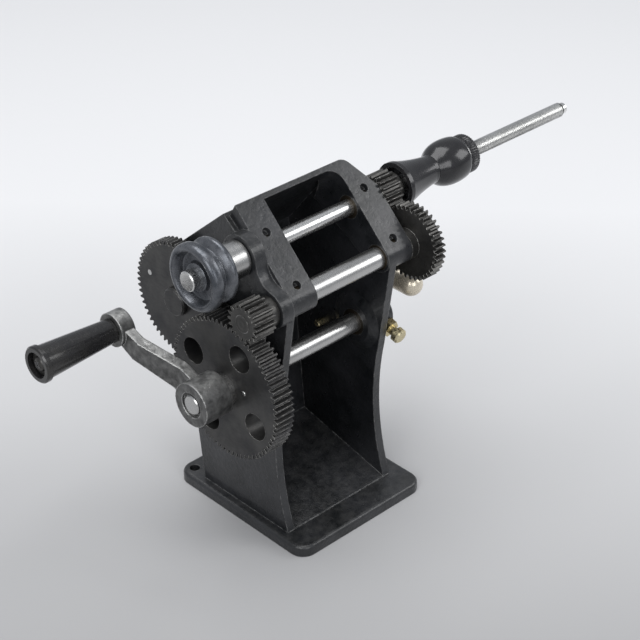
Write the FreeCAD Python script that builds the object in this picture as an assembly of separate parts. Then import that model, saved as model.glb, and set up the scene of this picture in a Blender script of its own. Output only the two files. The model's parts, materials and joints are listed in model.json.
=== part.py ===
"""Hand-cranked coil-winding machine: one iron casting that carries a crank, a two-stage gear train and a
threaded winding spindle with two centring cones. Millimetres, +X along the shafts to the threaded end,
+Y to the back, +Z up, origin at the centre of the base's underside."""

import FreeCAD
import Part
import math
import os

V = FreeCAD.Vector

# Gears
module = 1.0
pressure_angle = 20.0
backlash = 0.16
root_clearance = 0.25
crank_teeth = 72
left_pinion_teeth = 18
right_gear_teeth = 38
spindle_pinion_teeth = 19
slow_gear_teeth = 45
rear_gear_teeth = 60

# Places of the shafts, with angles up from +Y as seen from the crank's side
crank_y = -9.5
crank_z = 92.0
layshaft_lean = 108.0
head_tilt = 43.5
rear_gear_lean = 25.3

# Fits and broken edges
running_gap = 0.04
end_play = 0.15
face_gap = 0.3
edge_break = 0.8
fine_break = 0.5
overcut = 1.0

# Base plate
base_length = 87.0
base_depth = 95.0
base_thickness = 6.0
base_corner_r = 8.0
base_edge_r = 2.0
bolt_hole_r = 2.75
bolt_spacing = 74.0
bolt_from_back = 6.5

# Cheeks, back wall, roof and floor of the casting
left_cheek_x = -38.5
right_cheek_x = 34.0
cheek_wall = 4.5
back_wall = 5.0
foot_front_y = -33.0
foot_back_y = 30.5
waist_y = -22.6
waist_z = 53.0
throat_y = -25.0
throat_z = 84.0
roof_back_y = 50.5
roof_back_z = 136.0
shoulder_drop = 9.0
shoulder_inset = 1.5
floor_rise = 14.0

# Head: two sloping arms that hold the bearings, joined by a bar along the ridge
left_arm_x = -36.0
right_arm_x = 45.0
arm_width = 16.5
face_height = 7.9
arm_top = 50.4
arm_top_lean = 7.5
arm_depth = 27.0
top_bar = 2.8
window_corner_r = 8.0
corner_cut_across = 10.4
corner_cut_down = 18.8
corner_round_r = 6.0
pad_height = 7.0
spindle_pad_r = 11.5
layshaft_pad_r = 9.5
pad_waist_r = 12.0
oil_hole_r = 2.3
oil_hole_depth = 3.0
oil_hole_rise = 4.3

# Bearings
bush_wall = 2.0
crank_boss_r = 10.5
crank_boss_left = 10.0
crank_boss_right = 17.9
crank_boss_stand = 1.5
crank_boss_flare_r = 15.5
crank_bush_length = 8.5

# Crank
crank_shaft_r = 5.0
crank_gear_width = 11.0
lightening_holes = 4
lightening_hole_r = 7.0
lightening_ring_r = 24.4
lightening_angle = 27.0
gear_gap = 1.5
slow_gear_width = 7.0
slow_hub_r = 10.0
spacer_r = 8.5
spacer_length = 4.5
hub_r = 11.3
hub_length = 16.1
hub_counterbore_r = 6.6
hub_counterbore = 1.6
crank_radius = 55.0
crank_angle = 21.5
crank_offset = 5.4
arm_inset = 4.5
arm_tip_inset = 2.0
crank_arm_thick = 5.2
crank_arm_root = 16.0
crank_arm_tip = 9.6
bend_start = 16.0
bend_end = 39.0
bend_lag = 1.5
handle_boss_r = 8.7
handle_boss_length = 8.0
key_width = 3.0
key_height = 3.0
key_length = 12.0

# Grip
grip_length = 44.0
grip_neck_r = 6.1
grip_end_r = 8.5
grip_lip_r = 9.35
grip_lip = 3.0
grip_recess_r = 6.6
grip_recess = 3.5
grip_bolt_r = 3.0
grip_bolt_head_r = 5.6
grip_bolt_head = 2.6
grip_bolt_thread = 7.0

# Layshaft
layshaft_r = 5.5
layshaft_journal_r = 4.5
left_pinion_width = 12.5
left_pinion_lead = 0.5
left_hub_r = 7.6
right_gear_width = 6.4
right_hub_r = 8.0
right_hub_length = 4.3
layshaft_nut_flats = 13.0
layshaft_nut_length = 5.0
layshaft_washer_r = 8.0
layshaft_washer = 1.2
layshaft_stud_r = 4.0
layshaft_end = 2.0
pin_r = 1.25
pin_sink = 0.3
pin_angle = 48.0

# Winding spindle
spindle_r = 4.0
spindle_seat_r = 5.0
collar_r = 9.2
collar_length = 14.0
pulley_r = 17.0
pulley_width = 15.0
pulley_flange = 2.6
groove_r = 12.4
groove_floor = 3.4
groove_shift = 1.0
pulley_hub_r = 7.2
pulley_dish_r = 14.2
pulley_dish_floor_r = 10.4
pulley_web = 4.6
spindle_stub = 3.0
set_screw_r = 2.0
set_screw_sink = 0.6
spindle_pinion_width = 11.5
spindle_hub_r = 8.0
spindle_hub_length = 3.0
cone_gap = 1.6
inner_cone_length = 25.2
inner_cone_r = 12.0
inner_cone_lip = 2.2
inner_cone_recess_r = 9.6
inner_cone_recess = 5.0
waist_r = 7.5
waist_length = 2.0
outer_cone_length = 19.8
outer_cone_r = 12.0
outer_cone_bulge = 12.5
outer_cone_end_r = 10.4
clamp_washer_r = 10.0
clamp_washer = 1.0
clamp_nut_r = 9.7
clamp_nut_length = 6.0
thread_length = 78.4
thread_r = 3.95
thread_lead = 1.0
spindle_tip_r = 3.0
spindle_tip = 3.0

# Rear gear and its stud
rear_stud_r = 5.0
rear_stud_head_r = 7.5
rear_stud_head = 3.0
rear_shank_r = 3.0
rear_boss_r = 9.0
rear_nut_flats = 10.0
rear_nut_length = 5.0
rear_pin_r = 1.4
rear_outer_pin_r = 22.1
rear_outer_pin_angle = 18.2
rear_inner_pin_r = 10.2
rear_inner_pin_angle = -32.0

# Right cheek: bent peg, cheek screw, locating screw with its lock nut
peg_r = 6.2
peg_x = 58.0
peg_z = 105.9
peg_stem_y = 5.0
peg_bend_r = 7.0
peg_reach = 24.3
peg_spigot_r = 3.7
peg_spigot = 3.0
cheek_screw_y = 15.3
cheek_screw_z = 80.0
cheek_screw_r = 2.0
cheek_screw_tip = 4.0
cheek_screw_head_r = 4.0
cheek_screw_head = 2.6
locating_x = 40.5
locating_dip = 15.0
locating_r = 2.5
locating_tip_r = 1.8
locating_tip = 3.5
locating_head_r = 4.0
locating_head = 3.6
locating_reach = 21.5
lock_nut_flats = 8.0
lock_nut_length = 4.0
groove_shaft_r = 3.4
groove_width = 5.0


def from_axis(axis, radius, degrees):
    """The point (y, z) at a distance and an angle from an axis."""
    turn = math.radians(degrees)
    return axis[0] + radius * math.cos(turn), axis[1] + radius * math.sin(turn)


def centre_distance(teeth_a, teeth_b):
    return module * (teeth_a + teeth_b) / 2


# Axes of the shafts and of the handle as (y, z)
crank_axis = (crank_y, crank_z)
layshaft_axis = from_axis(crank_axis, centre_distance(crank_teeth, left_pinion_teeth), layshaft_lean)
shaft_step = centre_distance(right_gear_teeth, spindle_pinion_teeth)
spindle_axis = from_axis(layshaft_axis, shaft_step, head_tilt)
rear_axis = from_axis(crank_axis, centre_distance(slow_gear_teeth, rear_gear_teeth), rear_gear_lean)
handle_axis = from_axis(crank_axis, crank_radius, crank_angle)

# Stations along X that the pieces share
pad_x = left_arm_x - pad_height
left_arm_inner_x = left_arm_x + arm_width
right_arm_inner_x = right_arm_x - arm_width
left_inner_x = left_cheek_x + cheek_wall
right_inner_x = right_cheek_x - cheek_wall
boss_left_x = left_cheek_x - crank_boss_stand
boss_right_x = right_arm_x - crank_boss_right
slow_back_x = boss_left_x - end_play
slow_front_x = slow_back_x - slow_gear_width
crank_gear_back_x = slow_front_x - gear_gap
crank_gear_front_x = crank_gear_back_x - crank_gear_width
hub_inner_x = crank_gear_front_x - spacer_length
hub_outer_x = hub_inner_x - hub_length
handle_boss_outer_x = hub_outer_x - crank_offset
handle_boss_inner_x = handle_boss_outer_x + handle_boss_length
grip_inner_x = handle_boss_outer_x - face_gap
grip_outer_x = grip_inner_x - grip_length
pinion_front_x = crank_gear_front_x - left_pinion_lead
pinion_back_x = pinion_front_x + left_pinion_width
pinion_hub_x = pad_x - end_play
left_pin_x = (pinion_back_x + pinion_hub_x) / 2
right_hub_x = right_arm_x + end_play
right_gear_x = right_hub_x + right_hub_length
right_gear_end_x = right_gear_x + right_gear_width
layshaft_nut_x = right_gear_end_x + layshaft_washer
layshaft_end_x = layshaft_nut_x + layshaft_nut_length + layshaft_end
collar_end_x = pad_x - end_play
collar_x = collar_end_x - collar_length
collar_screw_x = collar_x + collar_length / 2
pulley_x = collar_x - pulley_width
groove_x = pulley_x + pulley_width / 2 + groove_shift
spindle_left_x = pulley_x - spindle_stub
spindle_pinion_x = right_arm_x + end_play
spindle_pinion_end_x = spindle_pinion_x + spindle_pinion_width
spindle_hub_x = spindle_pinion_end_x + spindle_hub_length
spindle_pin_x = (spindle_pinion_end_x + spindle_hub_x) / 2
inner_cone_x = spindle_hub_x + cone_gap
cone_meet_x = inner_cone_x + inner_cone_length
outer_cone_x = cone_meet_x + face_gap
outer_cone_end_x = outer_cone_x + outer_cone_length
nut_x = outer_cone_end_x + clamp_washer + end_play
nut_end_x = nut_x + clamp_nut_length
thread_end_x = nut_end_x + thread_length


def at(axis, x):
    return V(x, axis[0], axis[1])


def rod(axis, x0, x1, radius):
    """A cylinder along X."""
    return Part.makeCylinder(radius, x1 - x0, at(axis, x0), V(1, 0, 0))


def bore(axis, x0, x1, radius):
    """A cutter along X that runs past both faces it opens."""
    return rod(axis, x0 - overcut, x1 + overcut, radius)


def turned(axis, profile):
    """A solid of revolution about an X-parallel axis from (x, radius) corners."""
    corners = [V(x, axis[0], axis[1] + radius) for x, radius in profile]
    face = Part.Face(Part.makePolygon(corners + corners[:1]))
    return face.revolve(at(axis, 0), V(1, 0, 0), 360)


def slab(points, x0, x1):
    """A plate across X from (y, z) corners."""
    corners = [V(x0, y, z) for y, z in points]
    return Part.Face(Part.makePolygon(corners + corners[:1])).extrude(V(x1 - x0, 0, 0))


def lines(corners):
    return [Part.makeLine(a, b) for a, b in zip(corners, corners[1:])]


def hexagon(centre, direction, flats, length):
    """A hexagonal bar that starts at a point and runs along a direction."""
    corner = flats / math.sqrt(3)
    points = [V(corner * math.cos(math.pi * k / 3), corner * math.sin(math.pi * k / 3), 0) for k in range(7)]
    bar = Part.Face(Part.makePolygon(points)).extrude(V(0, 0, length))
    bar.Placement = FreeCAD.Placement(centre, FreeCAD.Rotation(V(0, 0, 1), direction))
    return bar


def involute(angle):
    return math.tan(angle) - angle


def tooth_flank(teeth):
    """(radius, half angle) corners of one tooth's flank, from its root to its tip."""
    pitch_r = module * teeth / 2
    base_r = pitch_r * math.cos(math.radians(pressure_angle))
    root_r = pitch_r - module * (1 + root_clearance)
    tip_r = pitch_r + module
    half_at_pitch = (math.pi * module / 2 - backlash / 2) / (2 * pitch_r)

    def half_angle(radius):
        roll = math.acos(min(1.0, base_r / radius))
        return half_at_pitch + involute(math.radians(pressure_angle)) - involute(roll)

    start_r = max(base_r, root_r)
    corners = [(radius, half_angle(radius)) for radius in (start_r, pitch_r, tip_r)]
    if root_r < start_r:
        corners.insert(0, (root_r, half_angle(start_r)))
    return corners


def toothed_disc(axis, x0, x1, teeth, first_tooth):
    """A spur gear blank with its teeth. The first tooth's centre stands at the given angle in degrees."""
    flank = tooth_flank(teeth)
    points = []
    for k in range(teeth):
        centre = math.radians(first_tooth) + 2 * math.pi * k / teeth
        turns = [(radius, centre - half) for radius, half in flank]
        turns += [(radius, centre + half) for radius, half in reversed(flank)]
        points += [from_axis(axis, radius, math.degrees(turn)) for radius, turn in turns]
    return slab(points, x0, x1)


def facing_gap(lean, teeth):
    """First-tooth angle of a gear whose gap meets a tooth that points at it along a lean."""
    return lean + 180 + 180 / teeth


def on_head(x, along, normal):
    """A point of the head: across, up the slope from the layshaft, and square to the dial face."""
    tilt = math.radians(head_tilt)
    y = layshaft_axis[0] + along * math.cos(tilt) - normal * math.sin(tilt)
    z = layshaft_axis[1] + along * math.sin(tilt) + normal * math.cos(tilt)
    return V(x, y, z)


def through_head(edges):
    """A cutter square to the dial face, from a closed outline drawn just above that face."""
    inward = on_head(0, 0, 0) - on_head(0, 0, 1)
    return Part.Face(Part.Wire(edges)).extrude(inward * (arm_depth + 2 * overcut))


def head_window():
    """The opening between the arms, with a round upper corner on the threaded side."""
    above = face_height + overcut
    top = arm_top - top_bar
    bow = window_corner_r * (1 - math.sqrt(0.5))
    start = on_head(right_arm_inner_x - window_corner_r, top, above)
    middle = on_head(right_arm_inner_x - bow, top - bow, above)
    end = on_head(right_arm_inner_x, top - window_corner_r, above)
    edges = [Part.Arc(start, middle, end).toShape()]
    edges += lines([end, on_head(right_arm_inner_x, -arm_depth, above),
                    on_head(left_arm_inner_x, -arm_depth, above), on_head(left_arm_inner_x, top, above), start])
    return through_head(edges)


def head_corner():
    """The corner that the ridge loses on the threaded side."""
    above = face_height + overcut
    across = on_head(right_arm_x - corner_cut_across, arm_top, above)
    down = on_head(right_arm_x, arm_top - corner_cut_down, above)
    slope = corner_cut_down / corner_cut_across
    outer = on_head(right_arm_x + overcut, arm_top - corner_cut_down - overcut * slope, above)
    upper = on_head(right_arm_x - corner_cut_across - overcut / slope, arm_top + overcut, above)
    peak = on_head(right_arm_x + overcut, arm_top + overcut, above)
    return through_head(lines([upper, across, down, outer, peak, upper]))


def head():
    """Arms and ridge bar: round under the layshaft, flat on the dial face, deep at the ridge."""
    front_low = on_head(left_arm_x, 0, face_height)
    chin = on_head(left_arm_x, -face_height, 0)
    under = on_head(left_arm_x, 0, -face_height)
    back = on_head(left_arm_x, arm_top - arm_top_lean, face_height - arm_depth)
    ridge = on_head(left_arm_x, arm_top, face_height)
    outline = [Part.Arc(front_low, chin, under).toShape()] + lines([under, back, ridge, front_low])
    block = Part.Face(Part.Wire(outline)).extrude(V(right_arm_x - left_arm_x, 0, 0))
    block = block.cut(head_window()).cut(head_corner())
    square = on_head(0, 0, 1) - on_head(0, 0, 0)
    corners = [e for e in block.Edges if e.Vertexes[0].X > right_arm_inner_x + overcut
               and abs(e.tangentAt(e.FirstParameter).dot(square)) > 0.9]
    return block.makeFillet(corner_round_r, corners)


def bearing_pad():
    """Two round bosses on the left arm, joined by a waisted web."""
    spindle_reach = spindle_pad_r + pad_waist_r
    layshaft_reach = layshaft_pad_r + pad_waist_r
    along = (layshaft_reach ** 2 - spindle_reach ** 2 + shaft_step ** 2) / (2 * shaft_step)
    across = math.sqrt(layshaft_reach ** 2 - along ** 2)
    low_share = layshaft_pad_r / layshaft_reach
    high_share = spindle_pad_r / spindle_reach
    web = []
    hollows = []
    for side in (1, -1):
        hollow = on_head(0, along, side * across)
        low = on_head(0, along * low_share, side * across * low_share)
        high = on_head(0, shaft_step - (shaft_step - along) * high_share, side * across * high_share)
        web += [(low.y, low.z), (high.y, high.z)][::side]
        hollows.append(bore((hollow.y, hollow.z), pad_x, left_arm_x, pad_waist_r))
    body = slab(web, pad_x, left_arm_x).cut(Part.makeCompound(hollows))
    spindle_boss = rod(spindle_axis, pad_x, left_arm_x, spindle_pad_r)
    layshaft_boss = rod(layshaft_axis, pad_x, left_arm_x, layshaft_pad_r)
    return body.fuse([spindle_boss, layshaft_boss])


def base_plate():
    """The rounded base, with a soft upper edge."""
    corner = V(-base_length / 2, -base_depth / 2, 0)
    plate = Part.makeBox(base_length, base_depth, base_thickness, corner)
    upright = [e for e in plate.Edges if abs(e.tangentAt(e.FirstParameter).z) > 0.9]
    plate = plate.makeFillet(base_corner_r, upright)
    upper = [e for e in plate.Edges if min(v.Z for v in e.Vertexes) > base_thickness / 2]
    return plate.makeFillet(base_edge_r, upper)


def cheek_outline():
    """The casting's side view as one wire in the YZ plane: front edge, head, roof and back edge."""
    foot = V(0, foot_front_y, base_thickness / 2)
    waist = V(0, waist_y, waist_z)
    throat = V(0, throat_y, throat_z)
    chin = V(0, layshaft_axis[0] - face_height, layshaft_axis[1])
    brow = on_head(0, arm_top, 0)
    roof = V(0, roof_back_y, roof_back_z)
    shoulder = V(0, roof_back_y - shoulder_inset, roof_back_z - shoulder_drop)
    heel = V(0, foot_back_y, base_thickness / 2)
    edges = [Part.Arc(foot, waist, throat).toShape()]
    edges += lines([throat, chin, brow, roof, shoulder, heel, foot])
    return Part.Wire(edges)


def hollow_outline():
    """The space between the cheeks: open in front, closed by the floor, the back wall and the roof."""
    lean = math.atan2(roof_back_y - foot_back_y, roof_back_z - base_thickness)
    back_low = foot_back_y - back_wall / math.cos(lean)
    far_front = foot_front_y - base_depth
    bar_edge = on_head(0, arm_top - top_bar, face_height + back_wall)
    bar_under = on_head(0, arm_top - top_bar, -back_wall)
    roof_in = (roof_back_y - 2 * back_wall, roof_back_z - back_wall)
    floor_back = (back_low + floor_rise * math.tan(lean), base_thickness + floor_rise)
    return [(bar_edge.y, bar_edge.z), (bar_under.y, bar_under.z), roof_in, floor_back,
            (foot_front_y, base_thickness), (far_front, base_thickness), (far_front, bar_edge.z)]


def casting_bores():
    """Every hole of the casting: bench bolts, bearings, studs, screws and oil holes."""
    holes = []
    for side in (-1, 1):
        foot = V(side * bolt_spacing / 2, base_depth / 2 - bolt_from_back, -overcut)
        holes.append(Part.makeCylinder(bolt_hole_r, base_thickness + 2 * overcut, foot))
    for axis, journal_r in ((spindle_axis, spindle_r), (layshaft_axis, layshaft_journal_r)):
        holes.append(bore(axis, pad_x, right_arm_x, journal_r + bush_wall))
    crank_bush_r = crank_shaft_r + bush_wall
    holes.append(bore(crank_axis, boss_left_x, boss_left_x + crank_boss_left, crank_bush_r))
    holes.append(rod(crank_axis, boss_right_x - overcut, boss_right_x + crank_bush_length, crank_bush_r))
    holes.append(bore(crank_axis, boss_right_x, right_arm_x, crank_shaft_r + face_gap))
    holes.append(bore(rear_axis, boss_left_x, left_inner_x, rear_shank_r))
    pocket_r = rear_nut_flats / math.sqrt(3) + face_gap
    pocket_end_x = left_inner_x + rear_nut_length + 2 * overcut
    holes.append(rod(rear_axis, left_inner_x, pocket_end_x, pocket_r))
    holes.append(rod((peg_stem_y, peg_z), right_cheek_x - peg_spigot, right_cheek_x + overcut, peg_spigot_r))
    holes.append(bore((cheek_screw_y, cheek_screw_z), right_inner_x, right_cheek_x, cheek_screw_r))
    screw_hole_r = locating_r + running_gap
    boss_face = crank_boss_r + overcut
    holes.append(along_locating([(0, 0), (0, screw_hole_r), (boss_face, screw_hole_r), (boss_face, 0)]))
    inward = on_head(0, 0, 0) - on_head(0, 0, 1)
    for x in (left_arm_x + arm_width / 2, right_arm_x - arm_width / 2):
        for along in (0, shaft_step):
            mouth = on_head(x, along + oil_hole_rise, face_height + overcut)
            holes.append(Part.makeCylinder(oil_hole_r, oil_hole_depth + overcut, mouth, inward))
    return Part.makeCompound(holes)


def frame_casting():
    """Base, cheeks, back wall, roof, head and bearing bosses in one piece of iron."""
    body = Part.Face(cheek_outline()).extrude(V(right_cheek_x - left_cheek_x, 0, 0))
    body.translate(V(left_cheek_x, 0, 0))
    body = body.cut(slab(hollow_outline(), left_inner_x, right_inner_x))
    right_boss = turned(crank_axis, [
        (boss_right_x, 0), (boss_right_x, crank_boss_r), (right_inner_x, crank_boss_flare_r),
        (right_cheek_x, crank_boss_r), (right_arm_x, crank_boss_r), (right_arm_x, 0)])
    left_boss = rod(crank_axis, boss_left_x, boss_left_x + crank_boss_left, crank_boss_r)
    stud_boss = rod(rear_axis, boss_left_x, left_inner_x, rear_boss_r)
    body = body.fuse([base_plate(), head(), bearing_pad(), right_boss, left_boss, stud_boss])
    return body.removeSplitter().cut(casting_bores())


def bush(axis, x0, x1, journal_r):
    return rod(axis, x0, x1, journal_r + bush_wall).cut(bore(axis, x0, x1, journal_r + running_gap))


def crank_key():
    """Sunk key between the shaft and the crank's hub."""
    corner = V(hub_inner_x - key_length, crank_y - key_width / 2, crank_z + crank_shaft_r - key_height / 2)
    key = Part.makeBox(key_length, key_width, key_height, corner)
    return key.rotate(at(crank_axis, 0), V(1, 0, 0), crank_angle)


def crank_shaft():
    """Plain shaft with a keyway under the hub and the ring groove that the locating screw holds."""
    groove_x0 = locating_x - groove_width / 2
    groove_x1 = locating_x + groove_width / 2
    shaft = turned(crank_axis, [
        (hub_outer_x, 0), (hub_outer_x, crank_shaft_r - fine_break), (hub_outer_x + fine_break, crank_shaft_r),
        (groove_x0, crank_shaft_r), (groove_x0, groove_shaft_r), (groove_x1, groove_shaft_r),
        (groove_x1, crank_shaft_r), (right_arm_x, crank_shaft_r), (right_arm_x, 0)])
    return shaft.cut(crank_key())


def crank_gear():
    """The large gear, with its bore and its lightening holes."""
    gear = toothed_disc(crank_axis, crank_gear_front_x, crank_gear_back_x, crank_teeth, layshaft_lean)
    cuts = [bore(crank_axis, crank_gear_front_x, crank_gear_back_x, crank_shaft_r)]
    for k in range(lightening_holes):
        centre = from_axis(crank_axis, lightening_ring_r, lightening_angle + 360 * k / lightening_holes)
        cuts.append(bore(centre, crank_gear_front_x, crank_gear_back_x, lightening_hole_r))
    return gear.cut(Part.makeCompound(cuts))


def slow_gear():
    """Second gear on the crank shaft, behind the large one, which turns the rear gear."""
    gear = toothed_disc(crank_axis, slow_front_x, slow_back_x, slow_gear_teeth, rear_gear_lean)
    gear = gear.fuse(rod(crank_axis, crank_gear_back_x, slow_front_x, slow_hub_r))
    return gear.cut(bore(crank_axis, crank_gear_back_x, slow_back_x, crank_shaft_r))


def crank_spacer():
    ring = rod(crank_axis, hub_inner_x, crank_gear_front_x, spacer_r)
    return ring.cut(bore(crank_axis, hub_inner_x, crank_gear_front_x, crank_shaft_r))


def crank_arm():
    """Hub, cranked flat arm and handle boss, drawn along +Y from the crank axis and then turned up."""
    handle = (crank_y + crank_radius, crank_z)
    root_x = hub_outer_x + arm_inset
    tip_x = handle_boss_outer_x + arm_tip_inset
    side = [(0, root_x), (bend_start, root_x), (bend_end, tip_x), (crank_radius, tip_x),
            (crank_radius, tip_x + crank_arm_thick), (bend_end + bend_lag, tip_x + crank_arm_thick),
            (bend_start + bend_lag, root_x + crank_arm_thick), (0, root_x + crank_arm_thick)]
    corners = [V(x, crank_y + along, crank_z - crank_arm_root) for along, x in side]
    bent = Part.Face(Part.makePolygon(corners + corners[:1])).extrude(V(0, 0, 2 * crank_arm_root))
    taper = slab([(crank_y, crank_z + crank_arm_root / 2), (handle[0], crank_z + crank_arm_tip / 2),
                  (handle[0], crank_z - crank_arm_tip / 2), (crank_y, crank_z - crank_arm_root / 2)],
                 handle_boss_outer_x - overcut, hub_inner_x + overcut)
    hub = rod(crank_axis, hub_outer_x, hub_inner_x, hub_r)
    boss = rod(handle, handle_boss_outer_x, handle_boss_inner_x, handle_boss_r)
    arm = bent.common(taper).fuse([hub, boss]).removeSplitter()
    arm = arm.cut(Part.makeCompound([
        bore(crank_axis, hub_outer_x, hub_inner_x, crank_shaft_r),
        rod(crank_axis, hub_outer_x - overcut, hub_outer_x + hub_counterbore, hub_counterbore_r),
        rod(handle, handle_boss_outer_x - overcut, handle_boss_outer_x + grip_bolt_thread, grip_bolt_r)]))
    return arm.rotate(at(crank_axis, 0), V(1, 0, 0), crank_angle).cut(crank_key())


def grip():
    """Moulded handle that swells to a lip round its recessed end."""
    bore_r = grip_bolt_r + face_gap
    lip_x = grip_outer_x + grip_lip
    floor_x = grip_outer_x + grip_recess
    return turned(handle_axis, [
        (grip_inner_x, bore_r), (grip_inner_x, grip_neck_r), (lip_x, grip_end_r), (lip_x, grip_lip_r),
        (grip_outer_x + edge_break, grip_lip_r), (grip_outer_x, grip_lip_r - edge_break),
        (grip_outer_x, grip_recess_r), (floor_x, grip_recess_r), (floor_x, bore_r)])


def grip_bolt():
    """Shoulder bolt that the grip turns on, screwed into the handle boss."""
    end_x = handle_boss_outer_x + grip_bolt_thread
    head_x = grip_outer_x + grip_recess - face_gap
    return turned(handle_axis, [
        (end_x, 0), (end_x, grip_bolt_r), (head_x, grip_bolt_r), (head_x, grip_bolt_head_r),
        (head_x - grip_bolt_head / 2, grip_bolt_head_r), (head_x - grip_bolt_head, grip_bolt_head_r / 2),
        (head_x - grip_bolt_head, 0)])


def cross_rod(axis, x, half):
    """A cross pin's cylinder, through a shaft's axis and as long on either side."""
    end = at(from_axis(axis, half, pin_angle), x)
    return Part.makeCylinder(pin_r, 2 * half, end, at(axis, x) - end)


def cross_pin(axis, x, hub_radius):
    """Pin across a shaft and the hub on it, a little below the hub's surface."""
    return cross_rod(axis, x, hub_radius - pin_sink)


def pin_hole(axis, x, hub_radius):
    return cross_rod(axis, x, hub_radius + overcut)


def layshaft():
    """Stepped shaft: thick between the arms, journals in the bushes, a stud for the nut."""
    thick_x0 = left_arm_inner_x + end_play
    thick_x1 = right_arm_inner_x - end_play
    shaft = turned(layshaft_axis, [
        (pinion_front_x, 0), (pinion_front_x, layshaft_journal_r), (thick_x0, layshaft_journal_r),
        (thick_x0, layshaft_r), (thick_x1, layshaft_r), (thick_x1, layshaft_journal_r),
        (right_gear_end_x, layshaft_journal_r), (right_gear_end_x, layshaft_stud_r),
        (layshaft_end_x, layshaft_stud_r), (layshaft_end_x, 0)])
    return shaft.cut(pin_hole(layshaft_axis, left_pin_x, left_hub_r))


def left_pinion():
    """Small gear at the shaft's end, with its hub against the bearing pad."""
    first = facing_gap(layshaft_lean, left_pinion_teeth)
    gear = toothed_disc(layshaft_axis, pinion_front_x, pinion_back_x, left_pinion_teeth, first)
    gear = gear.fuse(rod(layshaft_axis, pinion_back_x, pinion_hub_x, left_hub_r))
    gear = gear.cut(bore(layshaft_axis, pinion_front_x, pinion_hub_x, layshaft_journal_r))
    return gear.cut(pin_hole(layshaft_axis, left_pin_x, left_hub_r))


def right_gear():
    gear = toothed_disc(layshaft_axis, right_gear_x, right_gear_end_x, right_gear_teeth, head_tilt)
    gear = gear.fuse(rod(layshaft_axis, right_hub_x, right_gear_x, right_hub_r))
    return gear.cut(bore(layshaft_axis, right_hub_x, right_gear_end_x, layshaft_journal_r))


def layshaft_washer_ring():
    ring = rod(layshaft_axis, right_gear_end_x, layshaft_nut_x, layshaft_washer_r)
    return ring.cut(bore(layshaft_axis, right_gear_end_x, layshaft_nut_x, layshaft_stud_r))


def layshaft_nut():
    nut = hexagon(at(layshaft_axis, layshaft_nut_x), V(1, 0, 0), layshaft_nut_flats, layshaft_nut_length)
    return nut.cut(bore(layshaft_axis, layshaft_nut_x, layshaft_end_x, layshaft_stud_r))


def spindle():
    """Winding spindle: thick seat under pulley and collar, then one long bar with a turned-down tip."""
    thread_x = nut_end_x + thread_lead
    tip_x = thread_end_x - spindle_tip
    bar = turned(spindle_axis, [
        (spindle_left_x, 0), (spindle_left_x, spindle_seat_r - fine_break),
        (spindle_left_x + fine_break, spindle_seat_r), (collar_end_x, spindle_seat_r),
        (collar_end_x, spindle_r), (thread_x, spindle_r), (thread_x, thread_r),
        (tip_x, thread_r), (tip_x, spindle_tip_r),
        (thread_end_x - fine_break, spindle_tip_r), (thread_end_x, spindle_tip_r - fine_break),
        (thread_end_x, 0)])
    return bar.cut(pin_hole(spindle_axis, spindle_pin_x, spindle_hub_r))


def set_screw(x, top_r):
    """Headless screw under a ring on the spindle's seat."""
    foot = V(x, spindle_axis[0], spindle_axis[1] - spindle_seat_r)
    return Part.makeCylinder(set_screw_r, top_r - set_screw_sink - spindle_seat_r, foot, V(0, 0, -1))


def set_screw_hole(x, top_r):
    return Part.makeCylinder(set_screw_r, top_r + overcut, at(spindle_axis, x), V(0, 0, -1))


def pulley():
    """Dished belt pulley with a V groove."""
    end_x = pulley_x + pulley_width
    web_x = end_x - pulley_web
    hub_x = pulley_x + pulley_flange
    front_flange_x = 2 * groove_x - end_x + pulley_flange
    wheel = turned(spindle_axis, [
        (end_x, spindle_seat_r), (end_x, pulley_r - edge_break), (end_x - edge_break, pulley_r),
        (end_x - pulley_flange, pulley_r), (groove_x + groove_floor / 2, groove_r),
        (groove_x - groove_floor / 2, groove_r), (front_flange_x, pulley_r), (pulley_x + edge_break, pulley_r),
        (pulley_x, pulley_r - edge_break), (pulley_x, pulley_dish_r), (web_x, pulley_dish_floor_r),
        (web_x, pulley_hub_r), (hub_x, pulley_hub_r), (hub_x, spindle_seat_r)])
    return wheel.cut(set_screw_hole(groove_x, groove_r))


def spindle_collar():
    """Smooth steel collar that takes the end thrust on the bearing pad."""
    ring = turned(spindle_axis, [
        (collar_x, spindle_seat_r), (collar_x, collar_r - fine_break), (collar_x + fine_break, collar_r),
        (collar_end_x - fine_break, collar_r), (collar_end_x, collar_r - fine_break),
        (collar_end_x, spindle_seat_r)])
    return ring.cut(set_screw_hole(collar_screw_x, collar_r))


def spindle_pinion():
    first = facing_gap(head_tilt, spindle_pinion_teeth)
    gear = toothed_disc(spindle_axis, spindle_pinion_x, spindle_pinion_end_x, spindle_pinion_teeth, first)
    gear = gear.fuse(rod(spindle_axis, spindle_pinion_end_x, spindle_hub_x, spindle_hub_r))
    gear = gear.cut(bore(spindle_axis, spindle_pinion_x, spindle_hub_x, spindle_r))
    return gear.cut(pin_hole(spindle_axis, spindle_pin_x, spindle_hub_r))


def cone_of(profile, corners):
    """A turned cone: a smooth outer curve through (x, radius) points, closed by straight corners."""
    points = [V(x, spindle_axis[0], spindle_axis[1] + radius) for x, radius in profile]
    curve = Part.BSplineCurve()
    curve.interpolate(points)
    rest = [V(x, spindle_axis[0], spindle_axis[1] + radius) for x, radius in corners]
    edges = [curve.toShape()] + lines([points[-1]] + rest + [points[0]])
    return Part.Face(Part.Wire(edges)).revolve(at(spindle_axis, 0), V(1, 0, 0), 360)


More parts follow.
